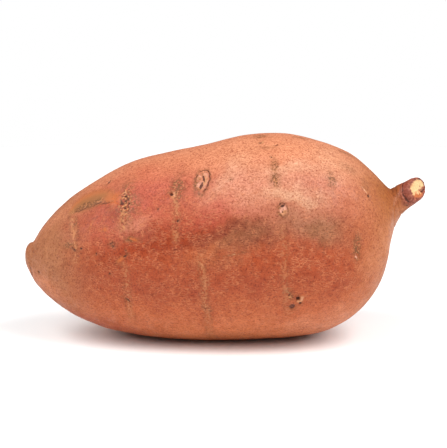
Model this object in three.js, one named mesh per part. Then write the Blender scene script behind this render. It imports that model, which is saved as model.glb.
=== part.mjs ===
// A sweet potato: one plump storage root, lying on its side on a small flat spot.
// Its blunt nose points to -X, and a short cut stalk rises from its shoulder at +X.
// Millimetres, +Z up. The origin is under the middle of the root's box, on the surface it lies on.
//
// The root is one closed skin. Rings stand between two outlines, the back (top) and the belly
// (bottom), so that they fan round the shoulder and follow the stalk. Each ring has a half width
// of its own, and broad swells and furrows then move its points out and in.

import * as THREE from "three";

// ---- Driving dimensions

const LENGTH = 160; // nose to the tip of the stalk
const HEIGHT = 83; // lowest of the belly to the crown, before the flat spot
const WIDTH = 77; // front to back at the widest, before the swells
const FLAT_DEPTH = 1; // how much of the belly the flat spot takes away
const POINTS_ROUND = 56; // points in each ring

const SKIN = { color: 0xc9704e, roughness: 0.55, metalness: 0 };

// ---- Outlines

// Stations from the nose to the cut face of the stalk. A point of the back or the belly is its
// share of LENGTH from the nose and its share of HEIGHT. Half is a share of half the WIDTH, and
// rings is how many rings lead up to the station from the one before it.
const STATIONS = [
  { back: [0.0, 0.402], belly: [0.0, 0.402], half: 0.0, rings: 0 }, // nose
  { back: [0.002, 0.446], belly: [0.003, 0.358], half: 0.1, rings: 2 },
  { back: [0.01, 0.468], belly: [0.012, 0.326], half: 0.165, rings: 1 },
  { back: [0.022, 0.475], belly: [0.026, 0.277], half: 0.235, rings: 2 }, // lip
  { back: [0.034, 0.518], belly: [0.042, 0.241], half: 0.315, rings: 1 },
  { back: [0.062, 0.591], belly: [0.07, 0.193], half: 0.45, rings: 2 },
  { back: [0.112, 0.682], belly: [0.122, 0.125], half: 0.62, rings: 3 },
  { back: [0.18, 0.772], belly: [0.192, 0.066], half: 0.765, rings: 3 },
  { back: [0.262, 0.856], belly: [0.272, 0.03], half: 0.87, rings: 3 },
  { back: [0.362, 0.909], belly: [0.37, 0.006], half: 0.935, rings: 4 },
  { back: [0.45, 0.942], belly: [0.455, 0.0], half: 0.975, rings: 3 },
  { back: [0.53, 0.983], belly: [0.532, 0.002], half: 0.995, rings: 3 },
  { back: [0.61, 1.0], belly: [0.607, 0.008], half: 1.0, rings: 3 }, // crown
  { back: [0.687, 0.986], belly: [0.68, 0.02], half: 0.98, rings: 3 },
  { back: [0.76, 0.944], belly: [0.745, 0.044], half: 0.93, rings: 3 },
  { back: [0.812, 0.899], belly: [0.8, 0.093], half: 0.85, rings: 2 },
  { back: [0.85, 0.843], belly: [0.843, 0.163], half: 0.735, rings: 2 },
  { back: [0.88, 0.784], belly: [0.877, 0.252], half: 0.6, rings: 2 },
  { back: [0.9, 0.744], belly: [0.894, 0.33], half: 0.48, rings: 2 }, // shoulder
  { back: [0.909, 0.732], belly: [0.903, 0.42], half: 0.36, rings: 2 },
  { back: [0.914, 0.733], belly: [0.914, 0.518], half: 0.26, rings: 2 }, // neck
  { back: [0.925, 0.75], belly: [0.932, 0.594], half: 0.185, rings: 2 },
  { back: [0.939, 0.763], belly: [0.954, 0.637], half: 0.145, rings: 2 },
  { back: [0.952, 0.774], belly: [0.973, 0.663], half: 0.13, rings: 2 }, // stalk
  { back: [0.963, 0.781], belly: [0.988, 0.687], half: 0.122, rings: 2 }, // rim of the cut
  { back: [0.966, 0.776], belly: [0.988, 0.693], half: 0.11, rings: 1 },
  { back: [0.971, 0.759], belly: [0.985, 0.708], half: 0.07, rings: 1 },
  { back: [0.978, 0.734], belly: [0.978, 0.734], half: 0.0, rings: 2 }, // cut face
];

// The stalk is cut on a slant that looks to the front. Towards the cut, each point is carried
// this far along the stalk for every millimetre that it lies to the back.
const CUT_SLANT = 0.8;
const SLANT_STARTS = 0.916; // shares of LENGTH where the slant begins
const SLANT_WHOLE = 0.98; // and where all of it is reached

// ---- Swells

// Broad rises and furrows. Along is a share of LENGTH, and round is the angle from the crown over
// the front (90) and the belly (180) to the back (270). Long is the reach along the root as a
// share of LENGTH, wide the reach round it in degrees, and drift the turn in degrees over one
// reach. Rise is in millimetres where the root is widest, and below zero for a furrow.
const SWELLS = [
  { along: 0.68, round: 47, drift: 4, long: 0.2, wide: 20, rise: 1.7 }, // front ridge
  { along: 0.6, round: 79, drift: 6, long: 0.24, wide: 11, rise: -1.9 }, // front furrow
  { along: 0.34, round: 84, drift: 12, long: 0.14, wide: 12, rise: -0.9 }, // where it runs out
  { along: 0.56, round: 115, drift: 0, long: 0.26, wide: 24, rise: 1.3 }, // front of the belly
  { along: 0.22, round: 62, drift: -8, long: 0.1, wide: 20, rise: 0.9 },
  { along: 0.2, round: 98, drift: 10, long: 0.12, wide: 12, rise: -0.7 },
  { along: 0.8, round: 88, drift: 0, long: 0.08, wide: 22, rise: -0.8 }, // by the shoulder
  { along: 0.45, round: 318, drift: -6, long: 0.24, wide: 18, rise: 1.4 }, // rear ridge
  { along: 0.52, round: 285, drift: 8, long: 0.26, wide: 12, rise: -1.5 }, // rear furrow
  { along: 0.5, round: 246, drift: 0, long: 0.24, wide: 24, rise: 1.2 }, // rear of the belly
  { along: 0.24, round: 300, drift: 0, long: 0.1, wide: 22, rise: -0.8 },
  { along: 0.77, round: 268, drift: 0, long: 0.1, wide: 26, rise: 0.9 },
];

// ---- The skin

// A smooth line through one point of every station.
const lineThrough = (pointOf) => new THREE.CatmullRomCurve3(STATIONS.map(pointOf));
const outlinePoint = ([along, up]) => new THREE.Vector3(along * LENGTH, 0, up * HEIGHT);
const backLine = lineThrough((s) => outlinePoint(s.back));
const bellyLine = lineThrough((s) => outlinePoint(s.belly));
const planLine = lineThrough((s) => new THREE.Vector3(s.back[0] * LENGTH, (s.half * WIDTH) / 2, 0));

// Where the rings stand, as shares of the way along the lines.
function ringPlaces() {
  const lastStation = STATIONS.length - 1;
  const places = [0];
  STATIONS.slice(1).forEach((station, before) => {
    for (let ring = 1; ring <= station.rings; ring += 1) {
      places.push((before + ring / station.rings) / lastStation);
    }
  });
  return places;
}

// The shorter way from one angle to another, in degrees.
const turnBetween = (from, to) => THREE.MathUtils.euclideanModulo(to - from + 180, 360) - 180;

// How far the swells move the skin out at a share of the length and an angle round it.
function swellAt(along, round) {
  return SWELLS.reduce((sum, s) => {
    const reach = (along - s.along) / s.long;
    const turn = turnBetween(s.round + s.drift * reach, round) / s.wide;
    return sum + s.rise * Math.exp(-reach * reach - turn * turn);
  }, 0);
}

// The point of the skin at an angle round the ring that stands at a place along the lines.
function skinPoint(place, round) {
  const back = backLine.getPoint(place);
  const belly = bellyLine.getPoint(place);
  const half = planLine.getPoint(place).y;
  const middle = back.clone().lerp(belly, 0.5);
  const upright = back.clone().sub(middle);
  const along = middle.x / LENGTH;

  const angle = THREE.MathUtils.degToRad(round);
  const out = upright.clone().multiplyScalar(Math.cos(angle));
  out.y = -half * Math.sin(angle);
  const swell = 1 + swellAt(along, round) / (WIDTH / 2);
  const point = middle.addScaledVector(out, swell);

  const stalkWay = new THREE.Vector3(upright.z, 0, -upright.x).normalize();
  const slant = CUT_SLANT * THREE.MathUtils.smoothstep(along, SLANT_STARTS, SLANT_WHOLE);
  point.addScaledVector(stalkWay, slant * point.y);

  point.z = Math.max(point.z, FLAT_DEPTH); // the flat spot
  return point;
}

// A sphere's rings of points, each moved to its place on the root.
function rootGeometry() {
  const places = ringPlaces();
  const skin = new THREE.SphereGeometry(1, POINTS_ROUND, places.length - 1);
  const position = skin.getAttribute("position");
  const perRing = POINTS_ROUND + 1; // the last point of a ring lies on the first
  for (let i = 0; i < position.count; i += 1) {
    const ring = Math.floor(i / perRing);
    const step = POINTS_ROUND - (i % perRing); // counted back, so that the faces look out
    const round = (360 * (step % POINTS_ROUND)) / POINTS_ROUND;
    const point = skinPoint(places[ring], round);
    position.setXYZ(i, point.x, point.y, point.z);
  }
  skin.computeVertexNormals();
  return skin;
}

const root = new THREE.Mesh(rootGeometry(), new THREE.MeshStandardMaterial(SKIN));
root.name = "sweet_potato";

// The root is moved so that the origin is under the middle of its box.
const box = new THREE.Box3().setFromObject(root);
const middle = box.getCenter(new THREE.Vector3());
root.position.set(-middle.x, -middle.y, -box.min.z);

const sweetPotato = new THREE.Group();
sweetPotato.add(root);

export default sweetPotato;
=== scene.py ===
import math

import bmesh
import bpy
import numpy as np
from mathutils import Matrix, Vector, noise
from mathutils.bvhtree import BVHTree


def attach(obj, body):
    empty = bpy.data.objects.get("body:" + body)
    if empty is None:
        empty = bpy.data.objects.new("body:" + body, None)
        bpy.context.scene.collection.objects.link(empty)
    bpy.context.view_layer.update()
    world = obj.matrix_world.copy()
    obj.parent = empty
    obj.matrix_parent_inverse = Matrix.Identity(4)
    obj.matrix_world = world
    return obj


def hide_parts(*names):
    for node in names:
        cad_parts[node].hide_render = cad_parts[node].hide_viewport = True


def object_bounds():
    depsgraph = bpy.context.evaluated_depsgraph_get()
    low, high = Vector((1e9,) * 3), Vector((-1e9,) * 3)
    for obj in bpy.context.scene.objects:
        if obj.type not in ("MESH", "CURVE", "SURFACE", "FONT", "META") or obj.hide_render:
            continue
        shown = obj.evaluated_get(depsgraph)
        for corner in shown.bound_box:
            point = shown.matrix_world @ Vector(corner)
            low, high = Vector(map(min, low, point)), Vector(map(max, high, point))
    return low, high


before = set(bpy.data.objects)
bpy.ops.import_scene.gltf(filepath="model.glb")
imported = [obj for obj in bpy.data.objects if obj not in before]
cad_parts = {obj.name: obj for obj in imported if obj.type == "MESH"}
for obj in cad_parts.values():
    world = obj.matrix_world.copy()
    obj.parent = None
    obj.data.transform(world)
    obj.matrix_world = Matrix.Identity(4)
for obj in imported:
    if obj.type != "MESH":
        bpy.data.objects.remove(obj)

# A sweet potato lying on its side on a pale table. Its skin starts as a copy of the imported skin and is
# made finer. Eyes, scars, furrows and creases are then pushed in and out of it, and each of them
# leaves a mask on the mesh's points that the skin's material colours.

mm = 0.001
rootName = "sweet_potato"
cadLow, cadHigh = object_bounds()
scene = bpy.context.scene


def link(thing):
    scene.collection.objects.link(thing)
    return thing


# Camera

cameraSet = {
    "lens": 120,  # mm, on a 36 mm sensor
    "tilt": 12,  # degrees above the table
    "away": 595,  # mm from the point it looks at
    "aimAlong": -0.004,  # shares of the root's length and height
    "aimUp": 0.556,
}


def setCamera():
    size = cadHigh - cadLow
    aim = (cadLow + cadHigh) / 2
    aim.x += cameraSet["aimAlong"] * size.x
    aim.z = cadLow.z + cameraSet["aimUp"] * size.z
    tilt = math.radians(cameraSet["tilt"])
    back = Vector((0, -math.cos(tilt), math.sin(tilt)))
    body = bpy.data.cameras.new("camera")
    body.lens = cameraSet["lens"]
    body.clip_end = 30
    camera = link(bpy.data.objects.new("camera", body))
    camera.location = aim + back * cameraSet["away"] * mm
    camera.rotation_euler = (math.pi / 2 - tilt, 0, 0)
    scene.camera = camera


setCamera()
print("camera set")

# The fine skin

skinMesh = {
    "levels": 2,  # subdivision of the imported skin
    "mergeDistance": 0.001,  # mm, for the loose triangles' shared corners
    "fineShare": 0.6,  # of a mark's longer side is cut finer, from its middle
    "fineMargin": 0.8,  # and this many mm past that once
    "finestMargin": 0.1,  # and this many twice
    "mapInset": 0.004,  # share of the map left free past each end
    "sectionStep": 2.0,  # mm between the sections whose middles are measured
}


def mergedSkin():
    bm = bmesh.new()
    bm.from_mesh(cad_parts[rootName].data)
    bmesh.ops.remove_doubles(bm, verts=bm.verts, dist=skinMesh["mergeDistance"] * mm)
    return bm


# The rings of points from the nose to the middle of the cut. Each starts at the crown and goes
# round over the front.
def ringsOf(bm):
    nose = min(bm.verts, key=lambda v: v.co.x)
    crown = nose
    rings = [[nose]]
    reached = {nose}
    while True:
        ahead = {e.other_vert(v) for v in rings[-1] for e in v.link_edges} - reached
        if not ahead:
            return rings
        reached |= ahead
        touching = [e.other_vert(crown) for e in crown.link_edges if e.other_vert(crown) in ahead]
        crown = min(touching, key=lambda v: (round(abs(v.co.y - nose.co.y), 6), -v.co.z))
        ring = [crown]
        while len(ring) < len(ahead):
            beside = [e.other_vert(ring[-1]) for e in ring[-1].link_edges]
            ring.append(min((v for v in beside if v in ahead and v not in ring), key=lambda v: v.co.y))
        rings.append(ring)


# Turns the triangles between the rings into four-sided faces.
def dropSlantedEdges(bm, rings):
    place = {v: (k, i) for k, ring in enumerate(rings) for i, v in enumerate(ring) if len(ring) > 1}
    slanted = []
    for edge in bm.edges:
        a, b = (place.get(v) for v in edge.verts)
        if a and b and a[0] != b[0] and a[1] != b[1]:
            slanted.append(edge)
    bmesh.ops.dissolve_edges(bm, edges=slanted, use_verts=False)


# How far each ring is from the nose over the skin, in metres.
def ringWays(rings):
    ways = [0.0]
    for before, ring in zip(rings, rings[1:]):
        count = max(len(before), len(ring))
        steps = [(ring[i % len(ring)].co - before[i % len(before)].co).length for i in range(count)]
        ways.append(ways[-1] + sum(steps) / count)
    return ways


# Across the map is once round the root, from belly to belly, and up it is from the nose to the cut.
def mapSkin(bm, rings, ways):
    layer = bm.loops.layers.uv.new("OFBake")
    share = {v: i / len(ring) for ring in rings for i, v in enumerate(ring) if len(ring) > 1}
    level = {v: way / ways[-1] for ring, way in zip(rings, ways) for v in ring}
    inset = skinMesh["mapInset"]
    for face in bm.faces:
        turns = [(share[v] + 0.5) % 1 for v in face.verts if v in share]
        if max(turns) - min(turns) > 0.5:
            turns = [turn + 1 if turn < 0.5 else turn for turn in turns]
        middle = sum(turns) / len(turns)
        turns = iter(turns)
        for loop in face.loops:
            across = next(turns) if loop.vert in share else middle
            loop[layer].uv = (across, inset + (1 - 2 * inset) * level[loop.vert])


# The rings' faces made fine and rounded by subdivision.
def smoothSkin(bm):
    mesh = bpy.data.meshes.new("skin_rings")
    bm.to_mesh(mesh)
    bm.free()
    for name in ("custom_normal", "sharp_face", "sharp_edge"):
        if name in mesh.attributes:
            mesh.attributes.remove(mesh.attributes[name])
    holder = link(bpy.data.objects.new("skin_rings", mesh))
    finer = holder.modifiers.new("finer", "SUBSURF")
    finer.levels = skinMesh["levels"]
    finer.render_levels = skinMesh["levels"]
    ready = holder.evaluated_get(bpy.context.evaluated_depsgraph_get())
    fine = bmesh.new()
    fine.from_mesh(ready.data)
    bpy.data.objects.remove(holder)
    bpy.data.meshes.remove(mesh)
    return fine


rawSkin = mergedSkin()
skinRings = ringsOf(rawSkin)
dropSlantedEdges(rawSkin, skinRings)
skinWays = ringWays(skinRings)
mapSkin(rawSkin, skinRings, skinWays)
print("rings", len(skinRings), "way over the skin", round(skinWays[-1] / mm, 1), "mm")
skin = smoothSkin(rawSkin)
print("smooth skin,", len(skin.faces), "faces")

# Marks on the skin

# At is a mark's place: mm along the root from the nose, and degrees round it from the crown (0) over
# the front (90) and the belly (180) to the back (270). Sizes are in mm. Lean turns a mark, in degrees.
marks = {
    # the scars of buds
    "eyes": [
        {"at": (71.2, 41), "wide": 5.6, "tall": 10.4, "rise": 0.45, "deep": 0.7, "lean": 10, "pale": 0.8},
        {"at": (101.6, 63.5), "wide": 3.4, "tall": 5, "rise": 0.3, "deep": 0.4, "lean": -12, "pale": 0.85},
        {"at": (63, 322), "wide": 4.2, "tall": 7.2, "rise": 0.5, "deep": 0.7, "lean": -5, "pale": 0.6},
        {"at": (98, 290), "wide": 3.4, "tall": 5.6, "rise": 0.45, "deep": 0.6, "lean": 8, "pale": 0.5},
        {"at": (118, 338), "wide": 2.6, "tall": 4.2, "rise": 0.35, "deep": 0.4, "lean": 0, "pale": 0.6},
        {"at": (84, 226), "wide": 3.0, "tall": 5.0, "rise": 0.35, "deep": 0.6, "lean": 12, "pale": 0.5},
        {"at": (47, 262), "wide": 2.6, "tall": 5.2, "rise": 0.35, "deep": 0.5, "lean": -10, "pale": 0.5},
    ],
    # small holes, some with a pale scar beside them
    "pits": [
        {"at": (59.6, 46.5), "size": 1.5, "deep": 0.8, "pale": 1.0},
        {"at": (93.5, 16), "size": 1.2, "deep": 0.7, "pale": 1.0},
        {"at": (107.6, 115), "size": 1.7, "deep": 0.9, "pale": 1.0},
        {"at": (105.4, 120.5), "size": 2.4, "deep": 0.5, "pale": 0.2, "hollow": 0.35},
        {"at": (108.4, 118.5), "size": 1.1, "deep": 0.5, "pale": 0.2},
        {"at": (42.4, 79.5), "size": 0.6, "deep": 0.2, "pale": 0.6},
        {"at": (6.7, 103), "size": 1.2, "deep": 0.4, "pale": 0.0},
        {"at": (34.7, 20), "size": 1.3, "deep": 0.5, "pale": 0.1},
        {"at": (37.2, 74.7), "size": 2.1, "deep": 0.35, "pale": 0.1, "hollow": 0.8},
        {"at": (25, 74), "size": 0.9, "deep": 0.3, "pale": 0.0},
        {"at": (31, 79), "size": 0.7, "deep": 0.2, "pale": 0.0},
        {"at": (62, 64), "size": 1.0, "deep": 0.4, "pale": 0.1},
        {"at": (54.6, 55), "size": 0.7, "deep": 0.3, "pale": 0.0},
        {"at": (97.5, 31), "size": 0.8, "deep": 0.3, "pale": 0.0},
        {"at": (134.8, 47), "size": 1.2, "deep": 0.6, "pale": 0.0},
        {"at": (36, 95), "size": 0.6, "deep": 0.2, "pale": 0.0},
        {"at": (30, 304), "size": 1.0, "deep": 0.5, "pale": 0.3},
        {"at": (79, 305), "size": 1.3, "deep": 0.8, "pale": 0.8},
        {"at": (52, 240), "size": 1.1, "deep": 0.5, "pale": 0.4},
        {"at": (108, 255), "size": 1.2, "deep": 0.6, "pale": 0.5},
        {"at": (126, 282), "size": 1.1, "deep": 0.5, "pale": 0.6},
        {"at": (88, 190), "size": 1.0, "deep": 0.4, "pale": 0.2},
        {"at": (24, 250), "size": 0.9, "deep": 0.4, "pale": 0.1},
    ],
    # gnarled scars of broken rootlets, as knots of pale and dark bits in a tall patch
    "scars": [
        {"at": (41.9, 46.5), "wide": 5.0, "tall": 14.0, "rise": 0.35, "lean": 2},
        {"at": (104.5, 113), "wide": 1.8, "tall": 2.6, "rise": 0.1, "lean": -40},
        {"at": (36, 318), "wide": 2.8, "tall": 6.5, "rise": 0.3, "lean": -8},
        {"at": (106, 246), "wide": 2.2, "tall": 4.5, "rise": 0.2, "lean": 15},
    ],
    # rows of small pale scars, each from one place to another round the root
    "rows": [
        {"from": (20.2, 31), "to": (22.9, 86), "pale": 0.75},
        {"from": (21.7, 44), "to": (22.2, 64), "pale": 0.6},
        {"from": (41.0, 52), "to": (40.4, 67), "pale": 1.0},
        {"from": (42.2, 58), "to": (41.6, 66), "pale": 0.5},
        {"from": (41.6, 86), "to": (44, 136), "pale": 0.65},
        {"from": (60.8, 44), "to": (61.2, 77), "pale": 0.8},
        {"from": (70.8, 84), "to": (75, 152), "pale": 0.8},
        {"from": (98.8, 20), "to": (98.6, 58), "pale": 0.1},
        {"from": (101.8, 70), "to": (103.5, 130), "pale": 0.45},
        {"from": (10, 62), "to": (13, 116), "pale": 0.3},
        {"from": (18, 104), "to": (23, 158), "pale": 0.35},
        {"from": (24, 244), "to": (26, 300), "pale": 0.8},
        {"from": (45, 270), "to": (46, 325), "pale": 0.6},
        {"from": (64, 232), "to": (63, 276), "pale": 0.5},
        {"from": (64, 296), "to": (65, 340), "pale": 0.8},
        {"from": (86, 236), "to": (88, 300), "pale": 0.6},
        {"from": (108, 262), "to": (107, 316), "pale": 0.6},
        {"from": (125, 228), "to": (127, 276), "pale": 0.5},
        {"from": (58, 168), "to": (57, 214), "pale": 0.4},
        {"from": (96, 160), "to": (98, 205), "pale": 0.4},
    ],
    # freckled brown patches
    "smudges": [
        {"at": (61.9, 43.2), "wide": 5.2, "tall": 11.0, "much": 1.0},
        {"at": (94, 6), "wide": 6.0, "tall": 5.0, "much": 0.7},
        {"at": (99, 46.5), "wide": 3.8, "tall": 6.0, "much": 1.0},
        {"at": (98.6, 38), "wide": 2.6, "tall": 8.0, "much": 0.9},
        {"at": (96, 22), "wide": 7.0, "tall": 3.0, "much": 0.35},
        {"at": (120.2, 43), "wide": 3.0, "tall": 8.0, "much": 0.8},
        {"at": (109.5, 4), "wide": 5.0, "tall": 2.5, "much": 0.6},
        {"at": (127.6, 6), "wide": 7.0, "tall": 3.5, "much": 0.6},
        {"at": (127, 28), "wide": 7.0, "tall": 6.0, "much": 0.35},
        {"at": (134, 38), "wide": 4.0, "tall": 8.0, "much": 0.45},
        {"at": (130, 86), "wide": 3.4, "tall": 9.0, "much": 0.9},
        {"at": (73.4, 120), "wide": 3.5, "tall": 6.0, "much": 0.6},
        {"at": (45.6, 49), "wide": 6.0, "tall": 10.0, "much": 0.6},
        {"at": (22.2, 50), "wide": 2.0, "tall": 5.5, "much": 0.75},
        {"at": (44.4, 72.5), "wide": 5.0, "tall": 2.0, "much": 1.0},
        {"at": (19.6, 69), "wide": 5.0, "tall": 2.6, "much": 0.8},
        {"at": (103.6, 110), "wide": 4.0, "tall": 3.0, "much": 0.8},
        {"at": (34, 22), "wide": 2.5, "tall": 3.0, "much": 0.4},
        {"at": (82, 44), "wide": 1.4, "tall": 1.4, "much": 1.0},
        {"at": (90, 47), "wide": 1.2, "tall": 1.2, "much": 0.5},
        {"at": (113, 76), "wide": 4.0, "tall": 4.0, "much": 0.4},
        {"at": (117, 82), "wide": 5.0, "tall": 4.0, "much": 0.4},
        {"at": (34, 300), "wide": 6.0, "tall": 5.0, "much": 0.6},
        {"at": (72, 338), "wide": 5.0, "tall": 4.0, "much": 0.6},
        {"at": (90, 272), "wide": 4.0, "tall": 8.0, "much": 0.6},
        {"at": (118, 300), "wide": 6.0, "tall": 4.0, "much": 0.6},
        {"at": (66, 206), "wide": 7.0, "tall": 5.0, "much": 0.5},
        {"at": (124, 244), "wide": 5.0, "tall": 5.0, "much": 0.7},
    ],
    # short streaks, each with the mask it leaves
    "streaks": [
        {"at": (71.7, 38.8), "wide": 0.9, "tall": 3.8, "lean": -12, "mask": "dark"},
        {"at": (71.0, 43.4), "wide": 1.2, "tall": 3.8, "lean": 14, "mask": "dark"},
        {"at": (69.4, 42.2), "wide": 1.9, "tall": 5.6, "lean": 8, "mask": "brown"},
        {"at": (72.3, 43.4), "wide": 1.2, "tall": 2.4, "lean": 30, "mask": "brown"},
        {"at": (101.4, 61.2), "wide": 1.8, "tall": 0.8, "lean": -10, "mask": "dark"},
        {"at": (101.6, 63.4), "wide": 0.8, "tall": 2.4, "lean": -15, "mask": "brown"},
        {"at": (102.3, 66), "wide": 0.9, "tall": 1.2, "lean": 0, "mask": "brown"},
        {"at": (28.9, 56), "wide": 0.8, "tall": 3.0, "lean": 30, "mask": "orange"},
        {"at": (34.2, 63), "wide": 1.5, "tall": 1.2, "lean": 0, "mask": "orange"},
        {"at": (40.6, 85), "wide": 3.6, "tall": 1.2, "lean": -40, "mask": "orange"},
        {"at": (42.2, 83), "wide": 2.6, "tall": 0.8, "lean": -40, "mask": "dark"},
        {"at": (21.9, 73), "wide": 3.4, "tall": 0.9, "lean": 38, "mask": "dark"},
        {"at": (45.2, 72.5), "wide": 3.2, "tall": 1.0, "lean": 20, "mask": "orange"},
        {"at": (42.6, 114), "wide": 3.2, "tall": 0.8, "lean": 40, "mask": "dark"},
        {"at": (2.8, 114), "wide": 1.0, "tall": 5.0, "lean": -30, "mask": "dark", "much": 0.8},
        {"at": (99.6, 19.5), "wide": 2.6, "tall": 0.5, "lean": -25, "mask": "dark"},
        {"at": (133.2, 43.5), "wide": 3.4, "tall": 0.8, "lean": 40, "mask": "pale"},
        {"at": (129.5, 92), "wide": 0.7, "tall": 2.0, "lean": -15, "mask": "pale"},
        {"at": (84, 87.5), "wide": 9.0, "tall": 0.5, "lean": -12, "mask": "pale", "much": 0.6},
        {"at": (37.8, 41.5), "wide": 5.0, "tall": 7.0, "lean": 5, "mask": "orange", "much": 0.75},
        {"at": (34.2, 42), "wide": 5.5, "tall": 0.9, "lean": 8, "mask": "dark", "much": 0.8},
        {"at": (58, 286), "wide": 2.0, "tall": 1.2, "lean": 0, "mask": "orange"},
        {"at": (112, 322), "wide": 3.2, "tall": 0.9, "lean": -30, "mask": "orange"},
        {"at": (70, 252), "wide": 8.0, "tall": 0.6, "lean": 10, "mask": "pale"},
    ],
    # rubbed bands where the outer skin is gone
    "rubs": [
        {
            "over": [(20.6, 33), (22, 31), (25, 30), (29, 31.5), (33, 34), (37, 40)],
            "wide": 9.2,
            "deep": 0.2,
        },
        {
            "over": [(108, 208), (114, 214), (121, 216), (126, 212)],
            "wide": 2.6,
            "deep": 0.12,
        },
    ],
}


def paint(red, green, blue):
    shares = [c / 255 for c in (red, green, blue)]
    linear = [c / 12.92 if c < 0.04 else ((c + 0.055) / 1.055) ** 2.4 for c in shares]
    return (*linear, 1.0)


tones = {
    "plain": paint(154, 66, 32),
    "low": paint(174, 87, 46),
    "clay": paint(193, 112, 68),
    "coral": paint(157, 62, 32),
    "peach": paint(194, 125, 91),
    "rose": paint(191, 122, 96),
    # This pale pink tone is a painted highlight: a whitish sheen laid into the colour of the upper skin
    "paintedHighlight": paint(200, 152, 120),
    "red": paint(142, 52, 16),
    "umber": paint(118, 44, 22),
    "olive": paint(134, 86, 55),
    "tan": paint(153, 95, 60),
    "amber": paint(150, 86, 34),
    "dust": paint(174, 111, 84),
    "pink": paint(178, 82, 66),
}

# The tones from the crown (0) down either side to the belly (180).
bands = [
    (0, "peach"),
    (30, "peach"),
    (48, "coral"),
    (66, "coral"),
    (84, "plain"),
    (106, "plain"),
    (122, "low"),
    (144, "clay"),
]

# Broad patches over the bands. Long is the reach along in mm, wide the reach round in degrees, and
# drift, on those that have one, the turn in degrees for each mm along.
zones = [
    {"tone": "coral", "at": (42, 34), "long": 22, "wide": 20, "much": 0.5},
    {"tone": "pink", "at": (50, 48), "long": 20, "wide": 20, "much": 0.55},
    {"tone": "rose", "at": (88, 50), "long": 24, "wide": 11, "much": 0.9},
    # The pale pink patches here paint a highlight on the upper front: a whitish sheen in the colour, not
    # in the light
    {"tone": "paintedHighlight", "at": (104, 55), "long": 14, "wide": 5, "much": 0.9},
    {"tone": "paintedHighlight", "at": (81, 41), "long": 8, "wide": 11, "drift": -1.4, "much": 0.4},
    {"tone": "paintedHighlight", "at": (104, 40), "long": 13, "wide": 6, "much": 0.6},
    {"tone": "plain", "at": (58, 56), "long": 14, "wide": 14, "much": 0.5},
    {"tone": "red", "at": (50, 80), "long": 15, "wide": 8, "drift": -0.25, "much": 0.9},
    {"tone": "red", "at": (64, 74), "long": 13, "wide": 6, "drift": -0.25, "much": 0.9},
    {"tone": "red", "at": (37, 54), "long": 4.5, "wide": 8, "much": 0.6},
    {"tone": "red", "at": (34, 86), "long": 9, "wide": 8, "much": 0.6},
    {"tone": "rose", "at": (46, 64), "long": 8, "wide": 6, "much": 0.6},
    {"tone": "pink", "at": (80, 64), "long": 11, "wide": 5, "drift": -0.2, "much": 0.5},
    {"tone": "olive", "at": (86, 79), "long": 15, "wide": 9, "drift": -0.35, "much": 0.9},
    {"tone": "umber", "at": (77, 75.5), "long": 14, "wide": 3.5, "drift": -0.25, "much": 0.9},
    {"tone": "dust", "at": (111, 69), "long": 13, "wide": 11, "drift": 0.1, "much": 1.0},
    {"tone": "olive", "at": (116, 73), "long": 10, "wide": 8, "much": 0.75},
    {"tone": "umber", "at": (92, 81), "long": 10, "wide": 5, "drift": -0.2, "much": 0.5},
    {"tone": "umber", "at": (48, 71), "long": 10, "wide": 4, "much": 0.35},
    # painted highlight: a whitish pink sheen on the top of the right shoulder
    {"tone": "paintedHighlight", "at": (124, 30), "long": 10, "wide": 22, "much": 0.35},
    {"tone": "peach", "at": (132, 44), "long": 8, "wide": 26, "much": 0.4},
    {"tone": "low", "at": (138, 88), "long": 9, "wide": 26, "much": 0.4},
    {"tone": "coral", "at": (66, 46), "long": 7, "wide": 8, "much": 0.4},
    {"tone": "low", "at": (71, 85), "long": 9, "wide": 5, "drift": -0.3, "much": 0.5},
    {"tone": "olive", "at": (3, 115), "long": 5, "wide": 30, "much": 0.5},
    {"tone": "plain", "at": (40, 150), "long": 14, "wide": 10, "much": 0.6},
    {"tone": "peach", "at": (112, 142), "long": 11, "wide": 9, "much": 0.35},
    {"tone": "red", "at": (114, 88), "long": 14, "wide": 7, "much": 0.1},
    {"tone": "tan", "at": (8, 80), "long": 16, "wide": 200, "much": 1.0},
    {"tone": "amber", "at": (147, 70), "long": 13, "wide": 200, "much": 1.0},
    {"tone": "red", "at": (27, 48), "long": 8, "wide": 10, "much": 0.35},
    {"tone": "rose", "at": (90, 60), "long": 9, "wide": 7, "much": 0.6},
    {"tone": "peach", "at": (12, 24), "long": 8, "wide": 16, "much": 0.5},
    {"tone": "clay", "at": (10, 125), "long": 9, "wide": 18, "much": 0.6},
    {"tone": "plain", "at": (30, 150), "long": 14, "wide": 14, "much": 0.7},
    {"tone": "peach", "at": (142, 100), "long": 9, "wide": 50, "much": 0.4},
    {"tone": "peach", "at": (122, 144), "long": 12, "wide": 16, "much": 0.5},
    {"tone": "umber", "at": (150, 20), "long": 7, "wide": 40, "much": 0.4},
    {"tone": "coral", "at": (60, 330), "long": 34, "wide": 22, "much": 0.7},
    {"tone": "rose", "at": (92, 312), "long": 26, "wide": 14, "much": 0.8},
    {"tone": "red", "at": (74, 290), "long": 22, "wide": 12, "drift": 0.2, "much": 0.8},
    {"tone": "red", "at": (38, 262), "long": 14, "wide": 14, "much": 0.6},
    {"tone": "olive", "at": (96, 266), "long": 20, "wide": 11, "drift": 0.3, "much": 0.9},
    {"tone": "umber", "at": (78, 276), "long": 10, "wide": 6, "drift": 0.3, "much": 0.7},
]

skinMasks = ("pale", "dark", "brown", "orange", "bare", "rows", "net", "stalk", "cream", "flesh", "cork")

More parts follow.
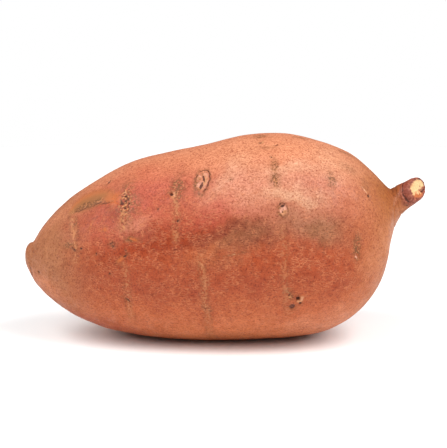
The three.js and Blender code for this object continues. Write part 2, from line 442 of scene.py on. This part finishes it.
relief = {
    "waves": [(11.0, 0.16), (4.5, 0.07), (1.6, 0.02)],  # lumps in mm, and how far they rise
    "restFade": 0.6,  # mm above the table over which the relief comes in
    "rowGroove": 0.13,
    "streaks": {"pale": 0.12, "orange": 0.04, "brown": -0.05, "dark": -0.3},  # rise, by the mask
    "noseCreases": 0.16,
    "lipWay": 9.5,  # mm from the nose
    "lipGroove": 0.14,
    # mm from the middle of the cut, and how dark
    "neckCreases": [(8.6, 1.0), (10.8, 0.65), (14.6, 0.4), (20.0, 0.7)],
    "neckDeep": 0.35,
    "barkEnds": (8.0, 13.5),  # mm from the middle of the cut
    "fibres": 0.2,  # ridges down the stalk
    "cutRadius": 4.5,
    "cutRough": 0.35,
}


# The height of the middle of each section across the root, as a line to read between.
def sectionMiddles(bm):
    places = np.array([v.co for v in bm.verts])
    reach = 1.5 * skinMesh["sectionStep"] * mm
    stations = np.arange(cadLow.x, cadHigh.x, skinMesh["sectionStep"] * mm)
    heights = []
    for x in stations:
        up = places[np.abs(places[:, 0] - x) < reach][:, 2]
        heights.append((up.min() + up.max()) / 2)
    return stations, np.array(heights)


stations, middles = sectionMiddles(skin)
skinTree = BVHTree.FromBMesh(skin)


# Where a place given along and round the root is on the skin, and the way out of it there.
def spotOn(at):
    x = cadLow.x + at[0] * mm
    start = Vector((x, 0, float(np.interp(x, stations, middles))))
    angle = math.radians(at[1])
    spot, out = skinTree.ray_cast(start, Vector((0, -math.sin(angle), math.cos(angle))))[:2]
    return spot, out


# Cuts the edges near some kinds of marks in two.
def cutFiner(bm, kinds, margin):
    places = np.array([v.co for v in bm.verts])
    near = np.zeros(len(places), bool)
    for kind in kinds:
        for mark in marks[kind]:
            longer = max(mark.get(side, 0) for side in ("tall", "wide", "size"))
            reach = longer * skinMesh["fineShare"] + margin
            near |= ((places - np.array(spotOn(mark["at"])[0])) ** 2).sum(1) < (reach * mm) ** 2
    bm.verts.index_update()
    edges = [e for e in bm.edges if near[e.verts[0].index] and near[e.verts[1].index]]
    bmesh.ops.subdivide_edges(bm, edges=edges, cuts=1, use_grid_fill=True)
    bmesh.ops.triangulate(bm, faces=[f for f in bm.faces if len(f.verts) > 4])


cutFiner(skin, ("eyes", "pits", "scars", "streaks"), skinMesh["fineMargin"])
cutFiner(skin, ("eyes", "pits", "scars"), skinMesh["finestMargin"])
print("finer round the marks,", len(skin.faces), "faces")

skinData = bpy.data.meshes.new("skin")
skin.to_mesh(skinData)
skin.free()
skinPiece = link(bpy.data.objects.new("skin", skinData))


def readPoints(mesh):
    count = len(mesh.vertices)
    place = np.zeros(count * 3)
    mesh.vertices.foreach_get("co", place)
    out = np.zeros(count * 3)
    mesh.vertex_normals.foreach_get("vector", out)
    corner = np.zeros(len(mesh.loops), int)
    mesh.loops.foreach_get("vertex_index", corner)
    flat = np.zeros(len(mesh.loops) * 2)
    mesh.uv_layers["OFBake"].uv.foreach_get("vector", flat)
    onMap = np.zeros((count, 2))
    onMap[corner] = flat.reshape(-1, 2)
    return place.reshape(-1, 3), out.reshape(-1, 3), onMap


place, out, onMap = readPoints(skinData)
point = place / mm  # the points in mm
lift = np.zeros(len(point))  # how far each is pushed out, in mm
masks = {name: np.zeros(len(point)) for name in skinMasks}
along = point[:, 0] - cadLow.x / mm
above = point[:, 2] - np.interp(place[:, 0], stations, middles) / mm
turn = np.degrees(np.arctan2(-point[:, 1], above)) % 360
inset = skinMesh["mapInset"]
fromNose = (onMap[:, 1] - inset) / (1 - 2 * inset) * skinWays[-1] / mm  # mm over the skin
fromCut = skinWays[-1] / mm - fromNose
stepRound = onMap[:, 0] * 2 * math.pi  # the angle of a point in its ring


# Smooth noise, about -1 to 1, whose lumps are this many mm across.
def lumps(points, size, seed):
    shift = Vector((7.1, 3.7, 1.3)) * seed
    return np.array([noise.noise(Vector(p) / size + shift) for p in points])


def ease(value, low, high):
    share = np.clip((value - low) / (high - low), 0, 1)
    return share * share * (3 - 2 * share)


def hump(value, wide):
    return np.exp(-((value / wide) ** 2))


def turnFrom(start):
    return (turn - start + 180) % 360 - 180


def addMask(name, near, value):
    masks[name][near] = np.maximum(masks[name][near], np.clip(value, 0, 1))


# The points near a place: their numbers, and how far they lie ahead of it along the root and down
# from it, in mm.
def pointsNear(at, reach, lean=0):
    spot, way = spotOn(at)
    offset = point - np.array(spot) / mm
    near = np.nonzero((offset**2).sum(1) < reach**2)[0]
    forward = (Vector((1, 0, 0)) - way * way.x).normalized()
    down = forward.cross(way)
    tilt = math.radians(lean)
    first = forward * math.cos(tilt) + down * math.sin(tilt)
    second = down * math.cos(tilt) - forward * math.sin(tilt)
    return near, offset[near] @ np.array(first), offset[near] @ np.array(second)


# In these, away is 0 in the middle of a mark and about 1 at its edge.

# A bud's scar: a pale sunken oval in a thin dark outline, with broken cracks down its middle.
def pressEye(mark):
    near, ahead, down = pointsNear(mark["at"], max(mark["wide"], mark["tall"]) * 0.95, mark["lean"])
    ragged = lumps(point[near], 1.5, 3)
    fine = lumps(point[near], 0.7, 4)
    away = np.hypot(ahead / mark["wide"], down / mark["tall"]) * 2 * (1 + 0.2 * ragged)
    inside = np.exp(-((away / 0.95) ** 6))
    rim = hump(away - 0.82, 0.2)
    crack = hump(ahead + 0.9 * ragged, 0.3) * ease(fine + ragged, -0.1, 0.3)
    crack *= np.exp(-((down / mark["tall"] / 0.4) ** 4))
    outline = hump(away - 1.04, 0.13) * ease(ragged + 0.15 * ahead - 0.08 * down, -0.4, 0.2)
    stained = 0.9 * inside * ease(-fine - 0.12 * ahead, 0.0, 0.35)
    lift[near] += mark["rise"] * rim * (0.8 + 0.5 * fine) - mark["deep"] * (0.35 * inside + 0.7 * crack)
    addMask("pale", near, mark["pale"] * inside * (0.8 + 0.45 * ragged + 0.08 * ahead))
    addMask("dark", near, np.maximum(0.8 * crack, 0.85 * outline))
    addMask("brown", near, stained + 0.5 * hump(away - 1.1, 0.22))


# A small hole with a pale scar along its far side. A hollow one is a ring.
def pressPit(mark):
    size = mark["size"]
    near, ahead, down = pointsNear(mark["at"], size * 2.2)
    away = np.hypot(ahead, down) / (size / 2) * (1 + 0.25 * lumps(point[near], 0.7, 5))
    hole = np.exp(-(away**4)) - mark.get("hollow", 0) * np.exp(-((away / 0.6) ** 4))
    side = hump(away - 1.7, 0.75) * ease(ahead / size + 0.7 * down / size, -0.2, 0.5)
    lift[near] += 0.15 * mark["pale"] * side - mark["deep"] * hole
    addMask("dark", near, 0.95 * hole)
    addMask("cork", near, mark["pale"] * side)
    addMask("pale", near, 0.55 * mark["pale"] * side)
    addMask("brown", near, 0.6 * hump(away, 1.6))


# A patch of small knots, the high ones pale and the low ones dark.
def pressScar(mark):
    near, ahead, down = pointsNear(mark["at"], mark["tall"], mark["lean"])
    away = np.hypot(ahead / mark["wide"], down / mark["tall"]) * 2
    patch = np.exp(-(away**4))
    knots = lumps(point[near], 0.9, 6)
    bits = lumps(point[near], 0.5, 7)
    lift[near] += mark["rise"] * patch * (1.6 * knots + 0.2)
    addMask("cork", near, patch * ease(knots + 0.3 * bits, 0.0, 0.35))
    addMask("pale", near, 0.8 * patch * ease(knots + 0.5 * bits, 0.4, 0.7))
    addMask("dark", near, patch * ease(-knots - 0.4 * bits, 0.12, 0.4))
    addMask("brown", near, 0.95 * np.exp(-(away**2) / 2))


# A shallow groove that wanders round the root, with small pale scars in it.
def pressRow(mark):
    start, end = mark["from"], mark["to"]
    share = turnFrom(start[1]) / ((end[1] - start[1] + 180) % 360 - 180)
    middle = start[0] + (end[0] - start[0]) * share
    near = np.nonzero((np.abs(along - middle) < 3) & (share > -0.1) & (share < 1.1))[0]
    wander = 0.9 * lumps(point[near] * (0.2, 1, 1), 5.0, 8)
    across = along[near] - middle[near] - wander
    window = ease(share[near], -0.05, 0.08) * (1 - ease(share[near], 0.92, 1.05))
    lift[near] -= relief["rowGroove"] * window * hump(across, 0.8) * (0.6 + mark["pale"])
    addMask("rows", near, 1.15 * mark["pale"] * window * hump(across, 0.72))
    addMask("brown", near, 0.45 * mark["pale"] * window * hump(np.abs(across) - 1.1, 0.6))


def pressSmudge(mark):
    near, ahead, down = pointsNear(mark["at"], max(mark["wide"], mark["tall"]) * 1.1)
    ragged = lumps(point[near], 2.2, 9)
    away = np.hypot(ahead / mark["wide"], down / mark["tall"]) * 2 * (1 + 0.45 * ragged)
    addMask("brown", near, mark["much"] * np.exp(-(away**3) * 0.8))


# A thin crack or scratch that bends a little, in a faint brown edge.
def pressStreak(mark):
    near, ahead, down = pointsNear(mark["at"], max(mark["wide"], mark["tall"]), mark["lean"])
    down = down + 0.25 * lumps(point[near], 1.6, 22)
    ragged = 1 + 0.35 * lumps(point[near], 0.8, 10)
    away = np.hypot(ahead / mark["wide"], down / mark["tall"]) * 2 * ragged
    streak = np.exp(-(away**4) * 0.7)
    addMask(mark["mask"], near, mark.get("much", 1) * streak * (0.85 + 0.6 * lumps(point[near], 0.7, 23)))
    addMask("brown", near, 0.6 * hump(away, 1.5))
    lift[near] += relief["streaks"][mark["mask"]] * streak


# A rubbed band: a shallow, olive and orange stripe with a dark torn edge below it.
def pressRub(mark):
    spots = [np.array(spotOn(at)[0]) / mm for at in mark["over"]]
    ways = [spotOn(at)[1] for at in mark["over"]]
    closest = np.full(len(point), 99.0)
    below = np.zeros(len(point))
    reached = np.zeros(len(point))
    for number, (start, end, way) in enumerate(zip(spots, spots[1:], ways)):
        step = end - start
        share = np.clip((point - start) @ step / (step @ step), 0, 1)
        offset = point - start - share[:, None] * step
        distance = np.sqrt((offset**2).sum(1))
        side = np.array(Vector(step).cross(way).normalized())
        better = distance < closest
        closest[better] = distance[better]
        below[better] = (offset @ side)[better]
        reached[better] = (number + share[better]) / (len(spots) - 1)
    near = np.nonzero(closest < mark["wide"] * 1.5)[0]
    ragged = lumps(point[near], 1.4, 11)
    away = closest[near] + 0.4 * ragged
    across = below[near] + 0.4 * ragged
    half = mark["wide"] / 2 * (0.4 + 0.6 * np.sin(math.pi * np.clip(reached[near], 0, 1)))
    band = np.exp(-((away / half) ** 4))
    beside = (closest[near] < mark["wide"]) * ease(reached[near], 0.01, 0.15)
    edge = hump(across - half * 0.85, 0.4) * beside
    lift[near] -= mark["deep"] * (band + 1.2 * edge)
    addMask("bare", near, band)
    fresh = np.maximum(0.6 * ease(reached[near], 0.75, 0.95), 0.6 * ease(-across, 0.2, half))
    addMask("orange", near, band * fresh)
    crust = band * ease(across + 0.8 * ragged, -0.4, 1.8) * (1 - ease(reached[near], 0.8, 0.95))
    addMask("brown", near, np.maximum(crust, 0.6 * hump(-across - half * 0.95, 0.35) * beside))
    torn = edge * ease(ragged, -0.5, 0.0) * (1 - ease(reached[near], 0.88, 0.98))
    addMask("dark", near, 0.9 * torn)


# The skin's own tone at each point, without its marks: the bands, then each zone over them.
def toneSkin():
    warp = 7 * lumps(point, 9.0, 12) + 2.5 * lumps(point, 2.5, 13)  # keeps the tones' edges uneven
    down = np.clip(np.abs(turnFrom(0)) + 0.8 * warp, 0, 180)
    edges = [edge for edge, tone in bands]
    tone = np.stack([np.interp(down, edges, [tones[name][c] for _, name in bands]) for c in range(3)], 1)
    for zone in zones:
        reach = along + 0.4 * warp - zone["at"][0]
        off = turnFrom(zone["at"][1]) + warp - zone.get("drift", 0) * reach
        off = (off + 180) % 360 - 180
        share = 1.2 * zone["much"] * hump(reach, zone["long"]) * hump(off, zone["wide"])
        share = np.minimum(share, zone["much"])
        tone += (np.array(tones[zone["tone"]][:3]) - tone) * share[:, None]
    return tone


# The netting shows on the sides and the belly, and fades towards the nose and the neck.
def netSkin():
    masks["net"] = ease(np.cos(np.radians(turn)), 0.95, 0.3) * (0.8 + 0.5 * lumps(point, 16.0, 14))
    masks["net"] *= ease(along, 8, 35) * (1 - ease(along, 128, 146))


def pressWaves():
    for size, rise in relief["waves"]:
        lift[:] += rise * lumps(point, size, 1 + size)


# Places on a circle, one for each point's turn in its ring, for noise that runs down the root.
def aroundRoot(radius, down):
    return np.stack([radius * np.cos(stepRound), radius * np.sin(stepRound), down], 1)


# The nose: a small blunt lip, with creases that run out from it, and painted shade below the lip.
def pressNose():
    creases = lumps(aroundRoot(3.2, fromNose * 0.05), 0.45, 15)
    fade = ease(fromNose, 4, 8) * (1 - ease(fromNose, 12, 26))
    lift[:] -= relief["noseCreases"] * fade * ease(creases, -0.1, 0.6)
    uneven = lumps(point, 5.0, 16)
    lip = hump(fromNose - relief["lipWay"] - 1.5 * uneven, 1.0)
    lift[:] -= relief["lipGroove"] * lip * (0.7 + 0.6 * uneven)
    # Painted shade: a dark line in the groove under the lip, on its lower front side only
    under = ease(np.cos(stepRound) - np.sin(stepRound) + uneven, 0.2, 1.2)
    masks["dark"] = np.maximum(masks["dark"], 0.6 * under * hump(fromNose - 8.6, 0.7))
    masks["brown"] = np.maximum(masks["brown"], 0.25 * hump(fromNose, 9.0))


# The stalk: bark with ridges down it, creased round the neck.
def pressStalk():
    uneven = lumps(point, 4.0, 17)
    slant = fromCut + 1.6 * np.cos(stepRound) + 0.9 * uneven  # the creases lie square to the stalk
    bark = 1 - ease(slant + 0.8 * lumps(point, 2.0, 31), *relief["barkEnds"])
    masks["stalk"] = bark
    ridges = lumps(aroundRoot(2.4, fromCut * 0.06), 0.5, 18)
    lift[:] += relief["fibres"] * bark * ease(fromCut, 5.0, 7.0) * ridges
    for number, (way, much) in enumerate(relief["neckCreases"]):
        part = lumps(aroundRoot(1, np.full(len(point), number)), 0.9, 19)
        crease = hump(slant - way - 0.5 * lumps(point, 1.5, 24 + number), 0.3 + 0.25 * much)
        crease *= ease(part - 0.4 * np.sin(stepRound), -0.15, 0.2)
        lift[:] -= relief["neckDeep"] * crease
        broken = 0.75 + 0.7 * lumps(point, 1.1, 30)
        masks["dark"] = np.maximum(masks["dark"], much * crease * broken)


# The slant cut: a rough face, cream above and browner flesh low in front, with a dark rind and a notch.
def pressCut():
    radius = relief["cutRadius"]
    uneven = lumps(point, 4.0, 17)
    grain = lumps(point, 0.9, 20)
    height = -fromCut * np.cos(stepRound) / radius  # 1 at the top of the cut, -1 at its foot
    back = fromCut * np.sin(stepRound) / radius  # 1 at its far side
    onFace = 1 - ease(fromCut + 0.4 * grain, radius - 0.8, radius)
    rough = 1 - ease(fromCut, radius - 0.1, radius + 0.9)
    lift[:] += relief["cutRough"] * rough * (1.4 * grain + 0.5 * uneven)
    masks["cream"] = onFace * ease(height + 0.35 * uneven + 0.4 * grain, -0.4, -0.1)
    masks["flesh"] = onFace * ease(0.4 * uneven - back, -0.2, 0.2)
    rind = hump(fromCut - radius, 0.5) * ease(back + height, 0.3, 0.9) * ease(grain + uneven, -0.4, 0.1)
    notch = onFace * hump(height + 0.5, 0.14) * ease(back, -0.1, 0.2)
    masks["dark"] = np.maximum(masks["dark"], np.maximum(rind, 0.8 * notch))


presses = {
    "eyes": pressEye,
    "pits": pressPit,
    "scars": pressScar,
    "rows": pressRow,
    "smudges": pressSmudge,
    "streaks": pressStreak,
    "rubs": pressRub,
}


# The new places of the points. The flat spot stays flat, and nothing sinks into the table.
def pressedPlaces():
    pressed = point + out * lift[:, None]
    resting = 1 - ease(place[:, 2] / mm, 0.0, relief["restFade"])
    pressed = pressed * (1 - resting[:, None]) + point * resting[:, None]
    pressed[:, 2] = np.maximum(pressed[:, 2], cadLow.z / mm)
    return pressed * mm


def storeSkin(mesh, tone):
    mesh.vertices.foreach_set("co", pressedPlaces().astype(np.float32).ravel())
    for name, mask in masks.items():
        layer = mesh.attributes.new(name, "FLOAT", "POINT")
        layer.data.foreach_set("value", np.clip(mask, 0, 1).astype(np.float32))
    layer = mesh.attributes.new("tone", "FLOAT_COLOR", "POINT")
    layer.data.foreach_set("color", np.append(tone, np.ones((len(tone), 1)), 1).astype(np.float32).ravel())
    mesh.update()
    mesh.shade_smooth()


netSkin()
pressWaves()
for kind, press in presses.items():
    for mark in marks[kind]:
        press(mark)
pressNose()
pressStalk()
pressCut()
storeSkin(skinData, toneSkin())
triangles = sum(len(p.vertices) - 2 for p in skinData.polygons)
print("marks pressed,", len(skinData.vertices), "points,", triangles, "triangles")

# The skin's finish


# A socket that can be used in sums.
class Value:
    def __init__(self, recipe, socket):
        self.recipe = recipe
        self.socket = socket

    def join(self, operation, first, second):
        return self.recipe.add("Math", {"operation": operation}, {0: first, 1: second})

    def __add__(self, other):
        return self.join("ADD", self, other)

    def __radd__(self, other):
        return self.join("ADD", other, self)

    def __sub__(self, other):
        return self.join("SUBTRACT", self, other)

    def __rsub__(self, other):
        return self.join("SUBTRACT", other, self)

    def __mul__(self, other):
        return self.join("MULTIPLY", self, other)

    def __rmul__(self, other):
        return self.join("MULTIPLY", other, self)


# The nodes of a material or of the surroundings, which lead to one shader.
class Recipe:
    def __init__(self, owner, shader="Principled BSDF"):
        owner.use_nodes = True
        self.tree = owner.node_tree
        self.shader = self.tree.nodes[shader]

    # A node of a kind, with its settings, then the values or links of its sockets.
    def add(self, kind, settings=None, sockets=None, output=0):
        node = self.tree.nodes.new("ShaderNode" + kind)
        for name, value in (settings or {}).items():
            setattr(node, name, value)
        for name, value in (sockets or {}).items():
            self.plug(node.inputs[name], value)
        return Value(self, node.outputs[output])

    def plug(self, socket, value):
        if isinstance(value, Value):
            self.tree.links.new(value.socket, socket)
        else:
            socket.default_value = value

    def finish(self, values):
        for name, value in values.items():
            self.plug(self.shader.inputs[name], value)

    def mask(self, name):
        return self.add("Attribute", {"attribute_name": name}, output="Fac")

    def soften(self, value, low, high):
        edges = {"Value": value, "From Min": low, "From Max": high}
        return self.add("MapRange", {"interpolation_type": "SMOOTHSTEP"}, edges)

    # A colour laid over another by a share.
    def lay(self, share, under, over, way="MIX"):
        settings = {"data_type": "RGBA", "blend_type": way, "clamp_factor": True}
        return self.add("Mix", settings, {0: share, 6: under, 7: over}, 2)

    # Noise whose lumps are about this many mm across.
    def cloud(self, place, size, detail=2.0, rough=0.5, seed=0.0):
        values = {"Vector": place, "W": seed, "Scale": 1 / size, "Detail": detail, "Roughness": rough}
        return self.add("TexNoise", {"noise_dimensions": "4D"}, values)

    def cells(self, place, size, feature, output="Distance"):
        return self.add("TexVoronoi", {"feature": feature}, {"Vector": place, "Scale": 1 / size}, output)


skinFinish = {
    "thread": paint(200, 122, 80),
    "cork": paint(180, 118, 76),
    "pale": paint(190, 130, 90),
    "palePink": paint(206, 146, 122),
    "brown": paint(106, 62, 32),
    "orange": paint(182, 92, 44),
    "bare": paint(144, 90, 50),
    "dark": paint(76, 32, 18),
    "bark": paint(116, 52, 36),
    "barkPale": paint(158, 90, 68),
    "cream": paint(214, 176, 126),
    "flesh": paint(176, 96, 52),
    "speck": paint(132, 50, 32),
    # how much of each stain, and what it multiplies the tone by
    "stains": {
        "broad": (0.5, (0.86, 0.78, 0.74, 1)),
        "smear": (0.6, (1.1, 1.14, 1.2, 1)),
        "mottle": (0.6, (0.78, 0.66, 0.6, 1)),
        "cell": (0.3, (0.7, 0.56, 0.48, 1)),
        "darkGrain": (1.0, (0.56, 0.39, 0.32, 1)),
        "lightGrain": (0.9, (1.25, 1.36, 1.42, 1)),
    },
    "cellLong": 2.9,  # mm along the root of one cell of the netting
    "cellTall": 0.58,
    "stir": 2.6,  # mm, the size of the bends in the netting
    "bend": (1.6, 1.2, 1.2),  # and how far they go
    "netStrength": 0.6,
    "prickStrength": 0.5,
    "roughness": (0.4, 0.6),
    "netRoughness": 0.12,
    "shine": 0.25,
    "bump": 0.6,
    "bumpRise": 0.25,  # mm
}


# The netting's threads, and a random share for each of its cells, which are long and bent.
def netting(r, place):
    stirSize = {"Vector": place, "Scale": 1 / skinFinish["stir"], "Detail": 3.0}
    stir = r.add("TexNoise", {}, stirSize, "Color")
    stir = r.add("VectorMath", {"operation": "SUBTRACT"}, {0: stir, 1: (0.5, 0.5, 0.5)})
    bent = {0: stir, 1: skinFinish["bend"], 2: place}
    bent = r.add("VectorMath", {"operation": "MULTIPLY_ADD"}, bent)
    stretch = (1 / skinFinish["cellLong"], 1 / skinFinish["cellTall"], 1 / skinFinish["cellTall"])
    netPlace = r.add("VectorMath", {"operation": "MULTIPLY"}, {0: bent, 1: stretch})
    edge = r.cells(netPlace, 1.0, "DISTANCE_TO_EDGE")
    patchy = r.soften(r.cloud(place, 3.0, 2.0, 0.5, 8.0), 0.36, 0.62)
    threads = (1 - r.soften(edge, 0.0, 0.14)) * patchy * (0.2 + 0.8 * r.mask("net"))
    cell = r.add("SeparateColor", {}, {0: r.cells(netPlace, 1.0, "F1", "Color")})
    return threads, cell


def stain(r, colour, name, share):
    much, tint = skinFinish["stains"][name]
    return r.lay(much * share, colour, tint, "MULTIPLY")


# The skin between the marks: the tone of each point, stained and grained.
def plainColour(r, place, mottle, grain, cell):
    colour = r.add("Attribute", {"attribute_name": "tone"}, output="Color")
    colour = stain(r, colour, "broad", r.soften(r.cloud(place, 14, 3.0), 0.45, 0.75))
    smeared = r.add("VectorMath", {"operation": "MULTIPLY"}, {0: place, 1: (0.25, 1, 1)})
    colour = stain(r, colour, "smear", r.soften(r.cloud(smeared, 2.4, 2.0, 0.5, 11.0), 0.5, 0.66))
    colour = stain(r, colour, "mottle", r.soften(mottle, 0.48, 0.75))
    colour = stain(r, colour, "cell", cell)
    colour = stain(r, colour, "darkGrain", r.soften(grain, 0.48, 0.68))
    return stain(r, colour, "lightGrain", r.soften(grain, 0.48, 0.3))


# The marks' colours, each laid on by the mask that its marks left.
def markColours(r, colour, place, grain, dashes):
    look = skinFinish
    brown = r.mask("brown")
    speckle = r.soften(r.cloud(place, 0.75, 2.0, 0.6, 17.0), 0.4, 0.62)
    flecks = r.soften(r.cloud(place, 0.8, 1.0, 0.5, 29.0), 0.54, 0.66)
    barkPatches = r.soften(r.cloud(place, 1.2, 3.0, 0.6, 23.0), 0.4, 0.7)
    pinkPatches = r.soften(r.cloud(place, 2.4, 1.0, 0.5, 26.0), 0.42, 0.58)

    # a mask whose edges are broken up by the grain
    def ragged(name, much, low, high):
        return r.soften(r.mask(name) + much * (grain - 0.5), low, high)

    colour = r.lay(r.mask("bare"), colour, look["bare"])
    colour = r.lay(brown * (0.35 + 1.1 * speckle), colour, look["brown"])
    colour = r.lay(0.7 * brown * flecks, colour, look["cork"])
    colour = r.lay(r.mask("orange"), colour, look["orange"])
    colour = r.lay(r.mask("rows") * dashes, colour, look["cork"])
    colour = r.lay(r.mask("stalk"), colour, r.lay(barkPatches, look["bark"], look["barkPale"]))
    colour = r.lay(r.mask("flesh"), colour, look["flesh"])
    colour = r.lay(r.mask("cream") * r.soften(grain, 0.2, 0.5), colour, look["cream"])
    colour = r.lay(ragged("cork", 0.9, 0.2, 0.8), colour, look["cork"])
    pale = r.lay(pinkPatches, look["pale"], look["palePink"])
    colour = r.lay(ragged("pale", 0.9, 0.25, 0.85), colour, pale)
    return r.lay(0.92 * ragged("dark", 0.6, 0.3, 0.75), colour, look["dark"])


def skinMaterial():
    look = skinFinish
    material = bpy.data.materials.new("skin")
    r = Recipe(material)
    place = r.add("TexCoord", output="Object")
    place = r.add("VectorMath", {"operation": "SCALE"}, {"Vector": place, "Scale": 1 / mm})
    mottle = r.cloud(place, 3.2, 3.0, 0.6, 2.0)
    grain = r.cloud(place, 0.65, 3.0, 0.7, 5.0)
    dashes = r.soften(r.cloud(place, 0.9, 2.0, 0.5, 20.0), 0.44, 0.58)
    threads, cell = netting(r, place)
    pricked = r.soften(r.cloud(place, 5.0, 1.0, 0.5, 14.0), 0.35, 0.55)
    pricks = (1 - r.soften(r.cells(place, 1.5, "F1"), 0.1, 0.3)) * pricked

    colour = plainColour(r, place, mottle, grain, cell)
    colour = r.lay(look["netStrength"] * threads, colour, look["thread"])
    colour = r.lay(look["prickStrength"] * pricks, colour, look["speck"])
    colour = markColours(r, colour, place, grain, dashes)

    low, high = look["roughness"]
    roughness = low + (high - low) * r.soften(mottle, 0.3, 0.7) + look["netRoughness"] * threads
    height = 0.8 * grain + 0.6 * threads + 0.5 * r.mask("rows") * dashes - 0.6 * pricks
    relieved = {"Strength": look["bump"], "Distance": look["bumpRise"] * mm, "Height": height}
    r.finish(
        {
            "Base Color": colour,
            "Roughness": roughness,
            "Specular IOR Level": look["shine"],
            "Normal": r.add("Bump", {}, relieved),
        }
    )
    return material


skinData.materials.clear()
skinData.materials.append(skinMaterial())
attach(skinPiece, "root")
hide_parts(rootName)
print("skin finished")

# Table and light

room = {
    "table": 1.0,  # metres across, so that its edge is still in full light
    "tableColour": (0.92, 0.92, 0.92, 1),
    "tableRoughness": 0.9,
    "tableShine": 0.1,
    "white": (1, 1, 1, 1),
    "around": 0.2,  # light from the white surroundings
    "seen": 1.0,  # and how bright they look themselves
    "lamps": [
        {"from": (-0.8, -0.3, 0.85), "size": 1.0, "power": 17},
        {"from": (0.8, -0.3, 0.85), "size": 1.0, "power": 20},
        {"from": (0, -0.75, 0.95), "size": 1.0, "power": 2},
    ],
}


def setTable():
    bm = bmesh.new()
    bmesh.ops.create_circle(bm, cap_ends=True, segments=96, radius=room["table"] / 2)
    mesh = bpy.data.meshes.new("table")
    bm.to_mesh(mesh)
    bm.free()
    material = bpy.data.materials.new("table")
    Recipe(material).finish(
        {
            "Base Color": room["tableColour"],
            "Roughness": room["tableRoughness"],
            "Specular IOR Level": room["tableShine"],
        }
    )
    mesh.materials.append(material)
    table = link(bpy.data.objects.new("table", mesh))


def setSurroundings():
    scene.world = bpy.data.worlds.new("surroundings")
    r = Recipe(scene.world, "Background")
    sight = r.add("LightPath", output="Is Camera Ray")
    strength = r.add("Mix", {}, {0: sight, 2: room["around"], 3: room["seen"]})
    r.finish({"Color": room["white"], "Strength": strength})


def setLamps():
    for number, lamp in enumerate(room["lamps"]):
        light = bpy.data.lights.new(f"softbox_{number}", "AREA")
        light.energy = lamp["power"]
        light.size = lamp["size"]
        holder = link(bpy.data.objects.new(light.name, light))
        holder.location = lamp["from"]
        holder.rotation_euler = (-Vector(lamp["from"])).to_track_quat("-Z", "Y").to_euler()
        holder.visible_camera = False


setTable()
setSurroundings()
setLamps()
scene.view_settings.view_transform = "Standard"
print("room lit")
